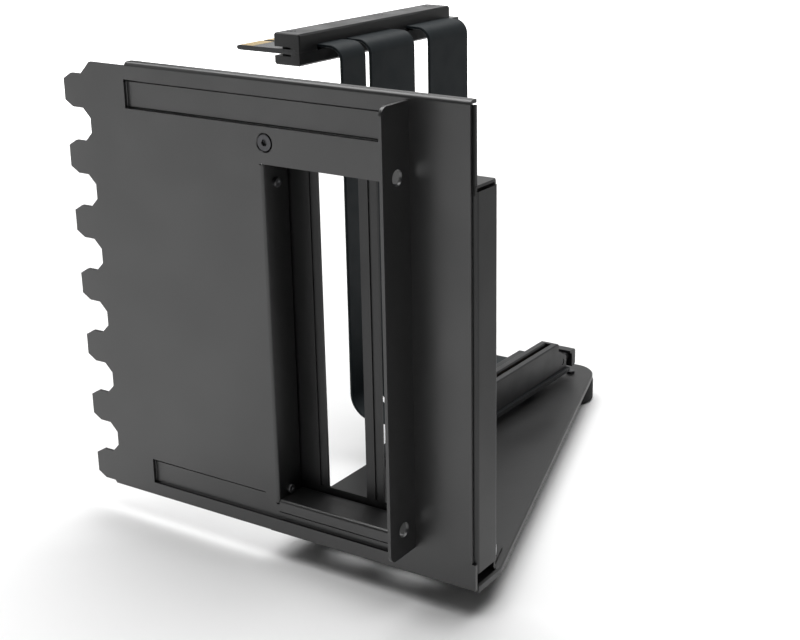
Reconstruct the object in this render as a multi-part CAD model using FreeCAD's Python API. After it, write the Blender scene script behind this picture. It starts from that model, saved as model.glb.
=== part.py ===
import FreeCAD, Part
import math
import os

# Vertical graphics card bracket with its riser: all sizes in millimetres.
# X runs along the rear plate from its finger tips, Y from its outer face into the case, Z up
# from its lower edge. Every piece is moved to the bottom centre of the whole object at the end.

# Standard card geometry
slot_pitch = 20.32
card_to_bracket = 6.3
bracket_tip_width = 10.2
card_seat_height = 110.6
card_to_slot = 48.1
edge_short = 11.65
edge_notch = 1.9
edge_long = 71.35

# Rear plate
plate_t = 1.0
plate_over_ledge = 20.75
top_finger_drop = 9.0
last_finger_rise = 0.5
finger_flat = 6.5
finger_chamfer = 3.1
finger_neck = 7.1
notch_depth = 9.85
notch_slant = 2.8
corner_cut = 0.6
fold_start_x = 25.2
fold_rise = 1.2
fold_depth = 3.1
fold_bend_r = 0.3
bend_r = 0.6

# Window and card slots
slot_count = 2
slot_opening = 14.2
slot_base_z = 13.0
slot_top_gap = 4.4
window_left_margin = 10.1
window_right_margin = 1.3
window_base_z = 10.85
window_top_gap = 2.4
window_round = 1.0
flap_relief = 0.4
flap_seam = 0.15
flap_end_gap = 0.5

# Pressed strips of the rear plate
strip_start_x = 24.45
strip_depth = 0.6
upper_strip_drop = 4.0
upper_strip_height = 8.5
lower_strip_z = 4.15
lower_strip_height = 8.2
lower_strip_narrow = 3.0
strip_step_x = 69.9
strip_step_length = 4.3

# Outward flange and right panel
flange_t = 1.0
flange_gap = 2.25
flange_depth = 12.3
flange_base_z = 8.45
flange_top_drop = 0.45
flange_round = 2.5
flange_hole_r = 2.25
flange_hole_out = 5.7
flange_hole_rise = 7.95
flange_hole_drop = 19.35
panel_width = 18.65
panel_gap = 0.4
panel_foot_height = 8.0
panel_head_drop = 1.7

# Slot frame behind the plate
frame_t = 0.8
frame_depth = 11.2
frame_gap = 0.1
frame_bend_r = 0.4
side_base_z = 4.75
side_top_gap = 1.0
side_lip_in = 3.4
upper_lip_in = 2.2
upper_lip_out = 0.85
ledge_corner_r = 1.5
foot_flange = 11.6
flange_inset = 2.2
rib_gap = 2.0
rib_width = 1.0
rib_depth = 0.4
tab_width = 9.6
tab_height = 7.8
card_hole_r = 1.42
card_hole_offset = 9.6
card_hole_back = 6.4
card_collar = 1.4
card_collar_t = 0.9
tip_slot_clear = 0.5
tip_slot_in = 0.2
tip_slot_depth = 2.6

# Tray and foot
tray_top = 1.1
tray_t = 1.2
tray_edge = 2.4
tray_left_x = 69.9
tray_front_gap = 0.7
tray_end_y = 170.45
tray_side_y = 14.0
tray_taper = 0.316
tray_round = 9.5
tray_back_round = 5.0
tray_edge_cut = 0.5
foot_x = 88.9
foot_r = 8.8
foot_height = 8.2
foot_cut = 0.8
foot_seat_in = 2.0
foot_pocket_r = 3.6
foot_pocket_depth = 4.2

# Riser board and slot
card_x = 86.1
spacer_height = 2.8
spacer_across = 4.6
board_t = 1.6
board_left = 14.5
board_right = 5.1
board_front = 6.5
board_back = 6.6
board_hole_r = 1.35
board_hole_edge = 3.2
slot_width = 7.5
slot_height = 11.25
slot_end_wall = 1.85
slot_edge_cut = 0.4
groove_width = 1.8
groove_depth = 8.2
groove_lead = 0.5
edge_clear = 0.2
key_clear = 0.1
contact_pitch = 1.0
contact_width = 0.6
contact_t = 0.3
contact_height = 5.4
contact_peak = 3.6
ear_length = 6.2
ear_t = 1.3
ear_over_pivot = 4.6
ear_low_over_pivot = 1.6
ear_slope_start = 1.2

# Latch at the slot's end
latch_gap = 0.25
latch_pivot_out = 3.4
latch_pivot_up = 2.9
latch_pivot_r = 1.1
latch_pivot_clear = 0.05
latch_pin_in = 0.2
latch_post_out = 10.9
latch_post_t = 2.8
latch_post_rise = 5.3
latch_post_low = 1.4
latch_post_cut = 0.7
latch_hook = 1.4
latch_hook_t = 1.5
latch_arm_back = 2.1
latch_arm_under = 1.2
latch_arm_over = 1.4

# Ribbons
ribbon_t = 1.1
ribbon_widths = [13.2, 26.1, 25.4]
ribbon_first_in = 10.1
ribbon_last_in = 2.2
ribbon_gap_shares = [0.23, 0.77]
ribbon_names = ["ribbon_front", "ribbon_middle", "ribbon_rear"]
ribbon_run = 5.2
ribbon_top_bend = 4.5
ribbon_low_bend = 8.0
ribbon_in_plug = 4.0
hood_width = 9.5
hood_height = 6.0
hood_over = 1.2
hood_entry = 1.5
hood_slant = 1.8
ribbon_seat = 1.5

# Plug that goes into the mainboard's slot
plug_x = 30.95
plug_width = 10.6
plug_height = 10.3
plug_y_shift = 0.9
plug_board_up = 3.6
plug_drop = 0.3
plug_cut = 0.6
plug_end_cut = 0.35
tongue_reach = 15.9
tongue_notch_depth = 8.0
tongue_bevel = 0.5
tongue_bevel_length = 1.4
tongue_corner = 0.5
board_in_plug = 2.0
tail_root = 3.0
tail_reach = 8.8
tail_width = 7.3
tail_inset = 1.7
plug_slot_clear = 0.7
plug_mouth_depth = 6.8
plug_mouth_length = 2.4
plug_mouth_step = 1.6
plug_screw_x = 3.4
plug_screw_ends = 5.0
plug_screw_middle = 53.8
plug_floor = 1.2

# Screws
small_screw_r = 0.8
small_head_r = 1.4
small_head_t = 0.9
small_screw_edge = 0.3
small_screw_drop = 6.2
plate_screw_r = 1.5
plate_head_r = 2.6
plate_screw_rise = 3.7
plate_screw_in = 0.8
plate_screw_length = 4.2
head_clear = 0.3
foot_head_t = 1.8
tray_screws_back = 6.2
tray_screw_left_in = 4.5
tray_screw_right_in = 6.0
board_screw_r = 1.2
board_head_r = 2.2
board_head_t = 1.5
plug_screw_r = 0.8
plug_head_r = 1.3
nut_across = 5.5
nut_height = 2.0
thread_clear = 0.05
board_hole_clear = 0.25
socket_share = 0.75
socket_depth_share = 0.4
tip_out = 0.8

# Heights and places that follow from the sizes above
board_top = tray_top + spacer_height + board_t
ledge_top = board_top + card_seat_height
plate_height = ledge_top + plate_over_ledge
top_finger_z = plate_height - top_finger_drop
finger_room = top_finger_z - bracket_tip_width / 2 - last_finger_rise
finger_count = 1 + int(finger_room / slot_pitch)
window_top = ledge_top - window_top_gap
slot_opening_top = ledge_top - slot_top_gap
frame_back = frame_depth + frame_t
frame_front = plate_t + frame_gap
first_slot_x = card_x + card_to_bracket
window_left = first_slot_x - slot_opening / 2 - window_left_margin
window_right = first_slot_x + (slot_count - 1) * slot_pitch + slot_opening / 2 + window_right_margin
flange_left = window_right + flange_gap
flange_right = flange_left + flange_t
flange_top = plate_height - flange_top_drop
panel_right = flange_right + panel_width
side_outer = panel_right + panel_gap + frame_t
side_top = ledge_top - frame_t - side_top_gap
wall_left = window_left - plate_t - frame_t
fold_top = plate_height + fold_rise
tray_bottom = tray_top - tray_edge
tray_under = tray_top - tray_t
floor_z = tray_bottom - foot_height
tray_front_y = plate_t + tray_front_gap
foot_y = tray_end_y - tray_round
tongue_length = edge_short + edge_notch + edge_long
slot_length = tongue_length + 2 * (edge_clear + slot_end_wall)
slot_y = frame_back + card_to_slot
slot_end_y = slot_y + slot_length
slot_top = board_top + slot_height
pivot_y = slot_end_y + latch_pivot_out
pivot_z = board_top + latch_pivot_up
plug_y = slot_y + plug_y_shift
plug_end_y = plug_y + slot_length
plug_z = top_finger_z + card_to_bracket - board_t / 2 - plug_board_up - plug_drop
plug_top = plug_z + plug_height
plug_board_z = plug_z + plug_board_up
plug_board_top = plug_board_z + board_t
plug_split = plug_board_z + board_t / 2
plug_right = plug_x + plug_width
tail_x = plug_right - tail_inset
ribbon_x = plug_right + ribbon_run + ribbon_top_bend


def v(x, y, z):
    return FreeCAD.Vector(x, y, z)


def block(x0, x1, y0, y1, z0, z1):
    """A box between two corners."""
    return Part.makeBox(x1 - x0, y1 - y0, z1 - z0, v(x0, y0, z0))


def rod(radius, start, end):
    """A cylinder from one point to another."""
    axis = end.sub(start)
    return Part.makeCylinder(radius, axis.Length, start, axis)


def xz(y):
    """Places a flat outline in the plane at this depth."""
    return lambda a, b: v(a, y, b)


def yz(x):
    return lambda a, b: v(x, a, b)


def xy(z):
    return lambda a, b: v(a, b, z)


def rounded_wire(points, radii, place):
    """A closed outline through the points, each corner rounded by its own radius."""
    count = len(points)
    starts = []
    ends = []
    middles = []
    for i in range(count):
        px, py = points[i]
        ax, ay = points[i - 1]
        bx, by = points[(i + 1) % count]
        la = math.hypot(ax - px, ay - py)
        lb = math.hypot(bx - px, by - py)
        ua = ((ax - px) / la, (ay - py) / la)
        ub = ((bx - px) / lb, (by - py) / lb)
        turn = math.acos(max(-1.0, min(1.0, ua[0] * ub[0] + ua[1] * ub[1])))
        radius = radii[i]
        if radius <= 0 or turn > math.pi - 0.001:
            starts.append((px, py))
            ends.append((px, py))
            middles.append(None)
            continue
        reach = min(radius / math.tan(turn / 2), 0.49 * la, 0.49 * lb)
        radius = reach * math.tan(turn / 2)
        s = (px + ua[0] * reach, py + ua[1] * reach)
        e = (px + ub[0] * reach, py + ub[1] * reach)
        bis = (ua[0] + ub[0], ua[1] + ub[1])
        size = math.hypot(bis[0], bis[1])
        gap = radius / math.sin(turn / 2) - radius
        middles.append((px + bis[0] / size * gap, py + bis[1] / size * gap))
        starts.append(s)
        ends.append(e)
    edges = []
    for i in range(count):
        if middles[i] is not None:
            arc = Part.Arc(place(*starts[i]), place(*middles[i]), place(*ends[i]))
            edges.append(arc.toShape())
        p = place(*ends[i])
        q = place(*starts[(i + 1) % count])
        if p.distanceToPoint(q) > 1e-6:
            edges.append(Part.LineSegment(p, q).toShape())
    return Part.Wire(edges)


def prism(points, radii, place, along):
    """A rounded outline pushed along a direction."""
    if not isinstance(radii, list):
        radii = [radii] * len(points)
    return Part.Face(rounded_wire(points, radii, place)).extrude(along)


def moved_line(points, distance, closed):
    """The same line moved to its left by a distance, corner by corner."""
    count = len(points)
    result = []
    for i in range(count):
        sides = []
        if closed or i > 0:
            sides.append((points[i - 1], points[i]))
        if closed or i < count - 1:
            sides.append((points[i], points[(i + 1) % count]))
        normals = []
        for (ax, ay), (bx, by) in sides:
            length = math.hypot(bx - ax, by - ay)
            normals.append((-(by - ay) / length, (bx - ax) / length))
        if len(normals) == 1:
            nx, ny = normals[0]
            scale = distance
        else:
            nx = normals[0][0] + normals[1][0]
            ny = normals[0][1] + normals[1][1]
            scale = distance * 2 / (nx * nx + ny * ny)
        result.append((points[i][0] + nx * scale, points[i][1] + ny * scale))
    return result


def bent_sheet(points, thickness, inner_r, place, along):
    """A folded strip of sheet: the line is one face, the sheet lies to its left."""
    other = moved_line(points, thickness, False)
    near = [0]
    far = [0]
    for i in range(1, len(points) - 1):
        ax, ay = points[i - 1]
        bx, by = points[i]
        cx, cy = points[i + 1]
        cross = (bx - ax) * (cy - by) - (by - ay) * (cx - bx)
        if cross > 0:
            near.append(inner_r + thickness)
            far.append(inner_r)
        else:
            near.append(inner_r)
            far.append(inner_r + thickness)
    near.append(0)
    far.append(0)
    outline = points + other[::-1]
    radii = near + far[::-1]
    return prism(outline, radii, place, along)


def pressed(points, depth, y_front):
    """A shallow sloped-wall form pressed into a sheet from its front face."""
    top = rounded_wire(points, [0] * len(points), xz(y_front))
    low = rounded_wire(moved_line(points, depth, True), [0] * len(points), xz(y_front + depth))
    return Part.makeLoft([top, low], True, True)


def joined(shapes):
    """One solid from touching or overlapping pieces."""
    result = shapes[0].multiFuse(shapes[1:]).removeSplitter()
    if result.ShapeType == "Compound" and len(result.Solids) == 1:
        result = result.Solids[0]
    return result


def less(shape, cutters):
    """A solid with several pieces cut away."""
    result = shape.cut(Part.Compound(cutters))
    if len(result.Solids) == 1:
        result = result.Solids[0]
    return result


def turned(profile, base, axis):
    """A solid of revolution: the profile lists radius and height along the axis."""
    points = [v(r, 0, h) for r, h in profile]
    points.append(points[0])
    solid = Part.Face(Part.makePolygon(points)).revolve(v(0, 0, 0), v(0, 0, 1), 360)
    turn = FreeCAD.Rotation(v(0, 0, 1), axis)
    solid.Placement = FreeCAD.Placement(base, turn)
    return solid


def hexagon(across, base, axis, length):
    """A hexagonal prism by its width across flats."""
    corner = across / math.sqrt(3)
    points = []
    for i in range(7):
        angle = math.radians(60 * i)
        points.append(v(corner * math.cos(angle), corner * math.sin(angle), 0))
    solid = Part.Face(Part.makePolygon(points)).extrude(v(0, 0, length))
    solid.Placement = FreeCAD.Placement(base, FreeCAD.Rotation(v(0, 0, 1), axis))
    return solid


def socket(head_r, head_t, base, axis):
    """The hexagonal recess in a screw's head."""
    return hexagon(head_r * socket_share, base, axis, head_t * socket_depth_share)


def flat_screw(head_r, shank_r, length, base, axis):
    """A countersunk screw: base is the head's centre on the surface, axis points inward."""
    cone = head_r - shank_r
    profile = [(0, 0), (head_r, 0), (shank_r, cone), (shank_r, length), (0, length)]
    return less(turned(profile, base, axis), [socket(head_r, 2 * cone, base, axis)])


def flat_screw_hole(head_r, shank_r, length, base, axis):
    """The hole of a countersunk screw: a straight mouth round the head, then its cone."""
    shank = shank_r + thread_clear
    wide = head_r + head_clear
    cone = head_r - shank_r + head_clear
    profile = [(0, -1), (wide, -1), (wide, 0), (shank, cone + thread_clear), (shank, length), (0, length)]
    return turned(profile, base, axis)


def round_screw(head_r, head_t, shank_r, length, base, axis):
    """A low cylinder-head screw: base is under its head, axis points along its shank."""
    profile = [(0, -head_t), (head_r, -head_t), (head_r, 0)]
    profile += [(shank_r, 0), (shank_r, length), (0, length)]
    top = base.add(v(axis.x, axis.y, axis.z).multiply(-head_t))
    return less(turned(profile, base, axis), [socket(head_r, head_t, top, axis)])


def finger_outline():
    """The plate's outline from the top left corner down the fingers to the lower edge."""
    half = bracket_tip_width / 2
    flat = finger_flat / 2
    first_top = top_finger_z + half
    points = [(finger_neck + plate_height - first_top, plate_height), (finger_neck, first_top)]
    for i in range(finger_count):
        z = top_finger_z - i * slot_pitch
        points += [(finger_chamfer, z + half), (0, z + flat), (0, z - flat)]
        points += [(finger_chamfer, z - half), (finger_neck, z - half)]
        if i < finger_count - 1:
            below = z - slot_pitch + half
            points.append((notch_depth, z - half - notch_slant))
            points.append((notch_depth, below + notch_slant))
            points.append((finger_neck, below))
    return points


def strip_outlines():
    """Outlines of the two pressed strips, counter-clockwise as seen from the front."""
    end = flange_left
    top = plate_height - upper_strip_drop
    base = top - upper_strip_height
    upper = [(strip_start_x, base), (end, base), (end, top), (strip_start_x, top)]
    low = lower_strip_z
    high = lower_strip_z + lower_strip_height
    narrow = lower_strip_z + lower_strip_narrow
    lower = [(strip_start_x, low), (end, low), (end, narrow)]
    lower += [(strip_step_x + strip_step_length, narrow), (strip_step_x, high), (strip_start_x, high)]
    return [upper, lower]


def plate_screw_place():
    return v(window_left + plate_screw_in, 0, ledge_top + plate_screw_rise)


def flap_screw_places():
    """Centres of the two screws on the window's left flap."""
    y = (frame_depth - flap_end_gap) / 2
    low = window_base_z + small_head_r + small_screw_edge
    high = window_top - small_screw_drop
    return [v(window_left, y, low), v(window_left, y, high)]


def rear_plate():
    """The folded outer sheet: fingers, strips, window flaps, top fold and case flange."""
    points = finger_outline()
    fold_z = plate_height - panel_head_drop
    points += [(finger_neck + corner_cut, 0), (side_outer, 0), (side_outer, panel_foot_height)]
    points += [(panel_right, panel_foot_height), (panel_right, fold_z)]
    points += [(fold_start_x, fold_z), (fold_start_x, plate_height)]
    sheet = prism(points, 0, xz(0), v(0, plate_t, 0))
    fold_line = [(fold_depth, fold_top), (0, fold_top), (0, fold_z)]
    fold_length = panel_right - fold_start_x
    fold = bent_sheet(fold_line, plate_t, fold_bend_r, yz(fold_start_x), v(fold_length, 0, 0))
    strips = strip_outlines()
    backs = [pressed(moved_line(s, 0.01, True), strip_depth, plate_t) for s in strips]
    flange_outline = [(-flange_depth, flange_base_z), (plate_t / 2, flange_base_z)]
    flange_outline += [(plate_t / 2, flange_top), (-flange_depth, flange_top)]
    flange_radii = [flange_round, 0, 0, flange_round]
    flange = prism(flange_outline, flange_radii, yz(flange_left), v(flange_t, 0, 0))
    body = joined([sheet, fold, flange] + backs)

    bend_out = bend_r + plate_t
    left = window_left - bend_out
    base = window_base_z - bend_out
    window = [(left, base), (window_right, base), (window_right, window_top), (left, window_top)]
    cuts = [prism(window, window_round, xz(-1), v(0, plate_t + 2, 0))]
    cuts += [pressed(s, strip_depth, 0) for s in strips]
    for z in (flange_base_z + flange_hole_rise, flange_top - flange_hole_drop):
        y = -flange_hole_out
        cuts.append(rod(flange_hole_r, v(flange_left - 1, y, z), v(flange_right + 1, y, z)))
    cuts.append(flat_screw_hole(plate_head_r, plate_screw_r, 3, plate_screw_place(), v(0, 1, 0)))
    body = less(body, cuts)

    reach = frame_depth - flap_end_gap
    left_line = [(left - 0.5, 0), (window_left, 0), (window_left, reach)]
    left_z = base + flap_relief
    left_height = window_top - flap_relief - left_z
    left_flap = bent_sheet(left_line, plate_t, bend_r, xy(left_z), v(0, 0, left_height))
    low_line = [(reach, window_base_z), (0, window_base_z), (0, base - 0.5)]
    low_x = window_left + flap_seam
    low_length = window_right - flap_relief - low_x
    low_flap = bent_sheet(low_line, plate_t, bend_r, yz(low_x), v(low_length, 0, 0))
    holes = []
    for place in flap_screw_places():
        start = v(place.x - plate_t - 1, place.y, place.z)
        holes.append(rod(small_screw_r + thread_clear, start, v(place.x + 1, place.y, place.z)))
    return less(joined([body, left_flap, low_flap]), holes)


def slot_opening_places():
    """Centre of each card slot along X."""
    return [first_slot_x + i * slot_pitch for i in range(slot_count)]


def tray_screw_places():
    """Centres of the screws that join frame and tray, on the tray's top face."""
    y = frame_back + tray_screws_back
    first = window_left + tray_screw_left_in
    last = panel_right - tray_screw_right_in
    return [v(first, y, tray_top), v(last, y, tray_top)]


def bracket_tip_slots(z0, z1):
    """Slots for the tips of the cards' brackets."""
    half = bracket_tip_width / 2 + tip_slot_clear
    y0 = frame_back + tip_slot_in
    y1 = y0 + tip_slot_depth
    return [block(x - half, x + half, y0, y1, z0, z1) for x in slot_opening_places()]


def frame_sheets():
    """The frame's folds: box round the cards' brackets, stand with its ledge, and lips."""
    around = [(side_outer - side_lip_in, frame_front), (side_outer, frame_front)]
    around += [(side_outer, frame_back), (wall_left, frame_back)]
    around += [(wall_left, plate_t + bend_r + frame_gap)]
    box_height = side_top - side_base_z
    box = bent_sheet(around, frame_t, frame_bend_r, xy(side_base_z), v(0, 0, box_height))
    ledge_x0 = window_left - plate_t + frame_bend_r
    ledge_x1 = side_outer - frame_t
    foot_top = tray_top + frame_t
    upright = [(frame_back + foot_flange, foot_top), (frame_back, foot_top)]
    upright += [(frame_back, ledge_top), (frame_front, ledge_top)]
    stand = bent_sheet(upright, frame_t, frame_bend_r, yz(ledge_x0), v(ledge_x1 - ledge_x0, 0, 0))
    back = frame_back - ledge_corner_r
    end = [(ledge_x1 - 1, frame_front), (side_outer, frame_front), (side_outer, back), (ledge_x1 - 1, back)]
    ledge_end = prism(end, [0, 0, ledge_corner_r, 0], xy(ledge_top - frame_t), v(0, 0, frame_t))
    lip_top = fold_top - plate_t - fold_bend_r
    lip_back = frame_front + frame_t
    lip_left = panel_right - upper_lip_in
    lip = block(lip_left, panel_right + upper_lip_out, frame_front, lip_back, side_top - 1, lip_top)
    tab_top = ledge_top + tab_height
    tab = block(ledge_x0, ledge_x0 + tab_width, frame_front, lip_back, ledge_top - frame_t, tab_top)
    return [box, stand, ledge_end, lip, tab]


def slot_frame():
    """The folded inner sheet that the cards are screwed to."""
    sheets = frame_sheets()
    cuts = bracket_tip_slots(tray_top - 1, tray_top + 2 * frame_t)
    hole_y = frame_back - card_hole_back
    lip_behind = frame_front + frame_t + 1
    low = ledge_top - frame_t - card_collar
    for x in slot_opening_places():
        hole_x = x + card_hole_offset
        sheets.append(rod(card_hole_r + card_collar_t, v(hole_x, hole_y, low), v(hole_x, hole_y, ledge_top)))
        cuts.append(rod(card_hole_r, v(hole_x, hole_y, low - 1), v(hole_x, hole_y, ledge_top + 1)))
        left = x - slot_opening / 2
        right = x + slot_opening / 2
        cuts.append(block(left, right, frame_depth - 1, frame_back + 1, slot_base_z, slot_opening_top))
        rib = left - rib_gap - rib_width
        groove_back = frame_depth + rib_depth
        cuts.append(block(rib, rib + rib_width, frame_depth - 1, groove_back, slot_base_z, slot_opening_top))
    hole_r = plate_screw_r + thread_clear
    screw = plate_screw_place()
    cuts.append(rod(hole_r, screw, v(screw.x, lip_behind, screw.z)))
    for place in flap_screw_places():
        start = v(place.x - plate_t - 2 * frame_t, place.y, place.z)
        cuts.append(rod(small_screw_r + thread_clear, start, place))
    for place in tray_screw_places():
        cuts.append(rod(hole_r, v(place.x, place.y, tray_under), v(place.x, place.y, tray_top + 2 * frame_t)))
    edge = side_outer - flange_inset
    start = frame_back + frame_bend_r
    slanted = edge - tray_taper * (tray_end_y - tray_side_y)
    corner = [(side_outer, start), (side_outer, tray_end_y), (slanted, tray_end_y)]
    corner += [(edge, tray_side_y), (edge, start)]
    cuts.append(prism(corner, 0, xy(0), v(0, 0, tray_top + frame_t + 1)))
    return less(joined(sheets), cuts)


def tray_outline():
    """The tray's outline seen from above, with the radius of each corner."""
    end_x = side_outer - tray_taper * (tray_end_y - tray_side_y)
    points = [(tray_left_x, tray_front_y), (side_outer, tray_front_y), (side_outer, tray_side_y)]
    points += [(end_x, tray_end_y), (tray_left_x, tray_end_y)]
    radii = [0, 0, 0, tray_round, tray_back_round]
    return points, radii


def tray():
    """A pressed pan: a flat top with its rim turned down all round."""
    points, radii = tray_outline()
    outer = prism(points, radii, xy(tray_bottom), v(0, 0, tray_edge))
    rim = [e for e in outer.Edges if e.BoundBox.ZMin > tray_top - 0.001]
    outer = outer.makeChamfer(tray_edge_cut, rim)
    inner_points = moved_line(points, tray_t, True)
    inner_radii = [max(r - tray_t, 0) for r in radii]
    hollow = prism(inner_points, inner_radii, xy(tray_bottom - 1), v(0, 0, tray_edge - tray_t + 1))
    cuts = [hollow] + bracket_tip_slots(tray_bottom - 1, tray_top + 1)
    for place in tray_screw_places():
        base = v(place.x, place.y, tray_under)
        cuts.append(flat_screw_hole(plate_head_r, plate_screw_r, 4, base, v(0, 0, 1)))
    hole_r = plate_screw_r + thread_clear
    cuts.append(rod(hole_r, v(foot_x, foot_y, tray_bottom - 1), v(foot_x, foot_y, tray_top + 1)))
    return less(outer, cuts)


def foot_pad():
    """A rubber foot that fills the tray's hollow and stands below it."""
    hole_r = plate_screw_r + thread_clear
    seat_r = foot_r - foot_seat_in
    top = tray_under - floor_z
    shoulder = tray_bottom - floor_z
    profile = [(foot_pocket_r, 0), (foot_r - foot_cut, 0), (foot_r, foot_cut), (foot_r, shoulder)]
    profile += [(seat_r, shoulder), (seat_r, top), (hole_r, top)]
    profile += [(hole_r, foot_pocket_depth), (foot_pocket_r, foot_pocket_depth)]
    return turned(profile, v(foot_x, foot_y, floor_z), v(0, 0, 1))


def foot_screw():
    base = v(foot_x, foot_y, floor_z + foot_pocket_depth)
    length = tray_top + tip_out - base.z
    return round_screw(plate_head_r, foot_head_t, plate_screw_r, length, base, v(0, 0, 1))


def plate_screw():
    return flat_screw(plate_head_r, plate_screw_r, plate_screw_length, plate_screw_place(), v(0, 1, 0))


def flap_screws():
    screws = []
    for place in flap_screw_places():
        length = plate_t + frame_t + tip_out
        screws.append(round_screw(small_head_r, small_head_t, small_screw_r, length, place, v(-1, 0, 0)))
    return Part.Compound(screws)


def tray_screws():
    screws = []
    length = tray_t + frame_t + nut_height
    for place in tray_screw_places():
        base = v(place.x, place.y, tray_under)
        screws.append(flat_screw(plate_head_r, plate_screw_r, length, base, v(0, 0, 1)))
    return Part.Compound(screws)


def tray_nuts():
    nuts = []
    for place in tray_screw_places():
        base = v(place.x, place.y, tray_top + frame_t)
        body = hexagon(nut_across, base, v(0, 0, 1), nut_height)
        hole = rod(plate_screw_r + thread_clear, base.sub(v(0, 0, 1)), base.add(v(0, 0, nut_height + 1)))
        nuts.append(less(body, [hole]))
    return Part.Compound(nuts)


def board_box():
    """Edges of the riser board: left, right, front, back."""
    return card_x - board_left, card_x + board_right, slot_y - board_front, slot_end_y + board_back


def board_screw_places():
    """Centres of the riser board's screws on its top face."""
    x0, x1, y0, y1 = board_box()
    e = board_hole_edge
    return [v(x1 - e, y0 + e, board_top), v(x0 + e, y1 - e, board_top)]


def riser_board():
    x0, x1, y0, y1 = board_box()
    body = block(x0, x1, y0, y1, board_top - board_t, board_top)
    cuts = []
    for p in board_screw_places():
        cuts.append(rod(board_hole_r, p.sub(v(0, 0, board_t + 1)), p.add(v(0, 0, 1))))
    return less(body, cuts)


def riser_spacers():
    """Pressed-in spacers that hold the board above the tray."""
    spacers = []
    for p in board_screw_places():
        low = v(p.x, p.y, tray_top)
        body = hexagon(spacer_across, low, v(0, 0, 1), spacer_height)
        hole = rod(board_screw_r + thread_clear, low.add(v(0, 0, 0.3)), low.add(v(0, 0, spacer_height + 1)))
        spacers.append(less(body, [hole]))
    return Part.Compound(spacers)


def riser_screws():
    screws = []
    for p in board_screw_places():
        length = board_t + spacer_height - 0.5
        screws.append(round_screw(board_head_r, board_head_t, board_screw_r, length, p, v(0, 0, -1)))
    return Part.Compound(screws)


def groove_spans():
    """The two stretches of the slot's groove along Y, one each side of its key."""
    first = slot_y + slot_end_wall
    key = first + edge_clear + edge_short + key_clear
    key_end = key + edge_notch - 2 * key_clear
    return [(first, key), (key_end, slot_end_y - slot_end_wall)]


def riser_slot():
    """The card slot: a long housing with a keyed groove and two ears for its latch."""
    left = card_x - slot_width / 2
    right = card_x + slot_width / 2
    body = block(left, right, slot_y, slot_end_y, board_top, slot_top)
    top = [e for e in body.Edges if e.BoundBox.ZMin > slot_top - 0.001]
    body = body.makeChamfer(slot_edge_cut, top)
    ears = []
    ear_end = slot_end_y + ear_length
    high = pivot_z + ear_over_pivot
    for x in (left, right - ear_t):
        outline = [(slot_end_y - 1, board_top), (ear_end, board_top), (ear_end, pivot_z + ear_low_over_pivot)]
        outline += [(slot_end_y + ear_slope_start, high), (slot_end_y - 1, high)]
        ears.append(prism(outline, 0, yz(x), v(ear_t, 0, 0)))
    body = joined([body] + ears)
    cuts = []
    half = groove_width / 2
    wide = half + groove_lead
    for y0, y1 in groove_spans():
        cuts.append(block(card_x - half, card_x + half, y0, y1, slot_top - groove_depth, slot_top + 1))
        mouth = [(card_x - wide, slot_top), (card_x + wide, slot_top), (card_x, slot_top - wide)]
        cuts.append(prism(mouth, 0, xz(y0), v(0, y1 - y0, 0)))
    pivot = latch_pivot_r + latch_pivot_clear
    cuts.append(rod(pivot, v(left - 1, pivot_y, pivot_z), v(right + 1, pivot_y, pivot_z)))
    return less(body, cuts)


def slot_contacts():
    """Spring contacts along both walls of the groove, each bent to a peak that meets the card."""
    contacts = []
    half = groove_width / 2
    base = slot_top - groove_depth
    for y0, y1 in groove_spans():
        count = int((y1 - y0 - 0.4) / contact_pitch)
        start = (y0 + y1) / 2 - (count - 1) * contact_pitch / 2
        for i in range(count):
            y = start + i * contact_pitch - contact_width / 2
            for side in (-1, 1):
                wall = card_x + side * half
                peak = (wall - side * contact_t, base + contact_peak)
                bend = [(wall, base), peak, (wall, base + contact_height)]
                contacts.append(prism(bend, 0, xz(y), v(0, contact_width, 0)))
    return Part.Compound(contacts)


def slot_latch():
    """The hook that holds the card's tail: an arm between the ears and a wide thumb post."""
    width = slot_width - 2 * ear_t - 2 * latch_gap
    arm_left = card_x - width / 2
    post = slot_end_y + latch_post_out
    back = post + latch_post_t
    low = pivot_z - latch_arm_under
    high = pivot_z + latch_arm_over
    arm = block(arm_left, arm_left + width, pivot_y - latch_arm_back, post + 1, low, high)
    top = board_top + latch_post_rise
    base = board_top - latch_post_low
    cut = latch_post_cut
    outline = [(post, base), (back - cut, base), (back, base + cut), (back, top - cut), (back - cut, top)]
    outline += [(post - latch_hook, top), (post - latch_hook, top - cut), (post, top - latch_hook_t)]
    thumb = prism(outline, 0, yz(card_x - slot_width / 2), v(slot_width, 0, 0))
    pins = slot_width - 2 * latch_pin_in
    pin = rod(latch_pivot_r, v(card_x - pins / 2, pivot_y, pivot_z), v(card_x + pins / 2, pivot_y, pivot_z))
    return joined([arm, thumb, pin])


def ribbon_spans():
    """Near and far edge of each ribbon along Y, with the free rest shared between them as gaps."""
    spare = slot_length - ribbon_first_in - ribbon_last_in - sum(ribbon_widths)
    near = slot_y + ribbon_first_in
    spans = []
    for width, share in zip(ribbon_widths, ribbon_gap_shares + [0]):
        spans.append((near, near + width))
        near += width + spare * share
    return spans


def hood_box():
    """Edges of the ribbon hood: left, right, front, back."""
    x0 = card_x - board_left
    spans = ribbon_spans()
    return x0, x0 + hood_width, spans[0][0] - hood_over, spans[-1][1] + hood_over


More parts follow.
